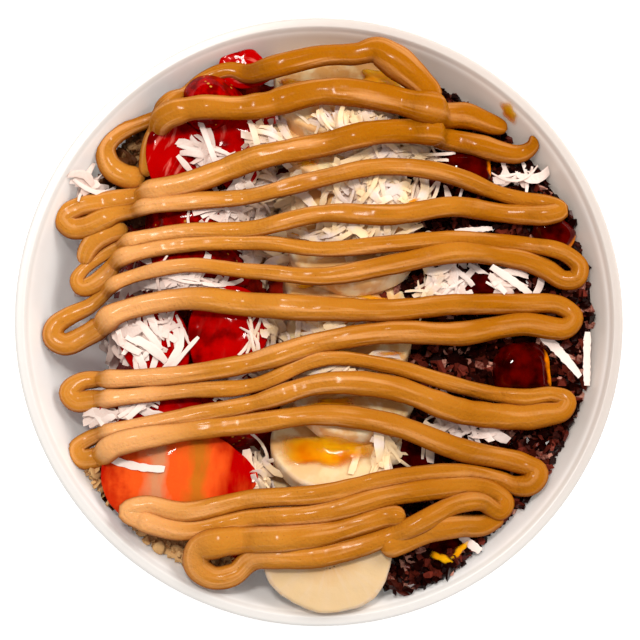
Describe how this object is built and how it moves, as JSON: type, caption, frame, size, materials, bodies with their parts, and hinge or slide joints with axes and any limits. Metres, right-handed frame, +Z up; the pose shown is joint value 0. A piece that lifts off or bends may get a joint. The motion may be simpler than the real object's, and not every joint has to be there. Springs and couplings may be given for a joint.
{
  "type": "acai bowl",
  "caption": "Round white bowl of acai topped with strawberry, banana, cacao nibs and shredded coconut under a zigzag drizzle of peanut butter.",
  "frame": {"origin": "centre of the bowl's flat underside", "axes": "+Z up out of the bowl; +X across the rows, from the strawberries to the cacao nibs; +Y along the rows"},
  "size_m": [0.16, 0.16, 0.0671],
  "materials": {
    "bowl": "smooth white, slightly translucent",
    "acai": "frozen fruit puree, dark purple, softly wet",
    "strawberry": "fresh cut strawberry, wet",
    "banana": "fresh cut banana, moist",
    "glazed_fruit": "dark red fruit, glossy syrup glaze",
    "cacao": "broken cacao nibs, dark brown with paler broken faces",
    "coconut": "shredded coconut, dry white",
    "granola": "toasted oats, dry",
    "peanut_butter": "smooth peanut butter, glossy"
  },
  "bodies": {
    "root": {"bowl": "bowl", "acai": "acai", "cacao_nibs": "cacao", "granola_lower": "granola", "granola_upper": "granola", "banana_1": "banana", "banana_2": "banana", "banana_3": "banana", "banana_4": "banana", "banana_5": "banana", "banana_6": "banana", "banana_7": "banana", "banana_8": "banana", "banana_9": "banana", "banana_10": "banana", "strawberry_1": "strawberry", "strawberry_2": "strawberry", "strawberry_3": "strawberry", "strawberry_4": "strawberry", "strawberry_5": "strawberry", "strawberry_6": "strawberry", "strawberry_7": "strawberry", "strawberry_8": "strawberry", "strawberry_9": "strawberry", "strawberry_10": "strawberry", "strawberry_11": "strawberry", "glazed_fruit_1": "glazed_fruit", "glazed_fruit_2": "glazed_fruit", "glazed_fruit_3": "glazed_fruit", "glazed_fruit_4": "glazed_fruit", "glazed_fruit_5": "glazed_fruit", "glazed_fruit_6": "glazed_fruit", "coconut_1": "coconut", "coconut_2": "coconut", "coconut_3": "coconut", "coconut_4": "coconut", "peanut_butter_1": "peanut_butter", "peanut_butter_2": "peanut_butter", "peanut_butter_3": "peanut_butter", "peanut_butter_4": "peanut_butter"}
  },
  "joints": []
}
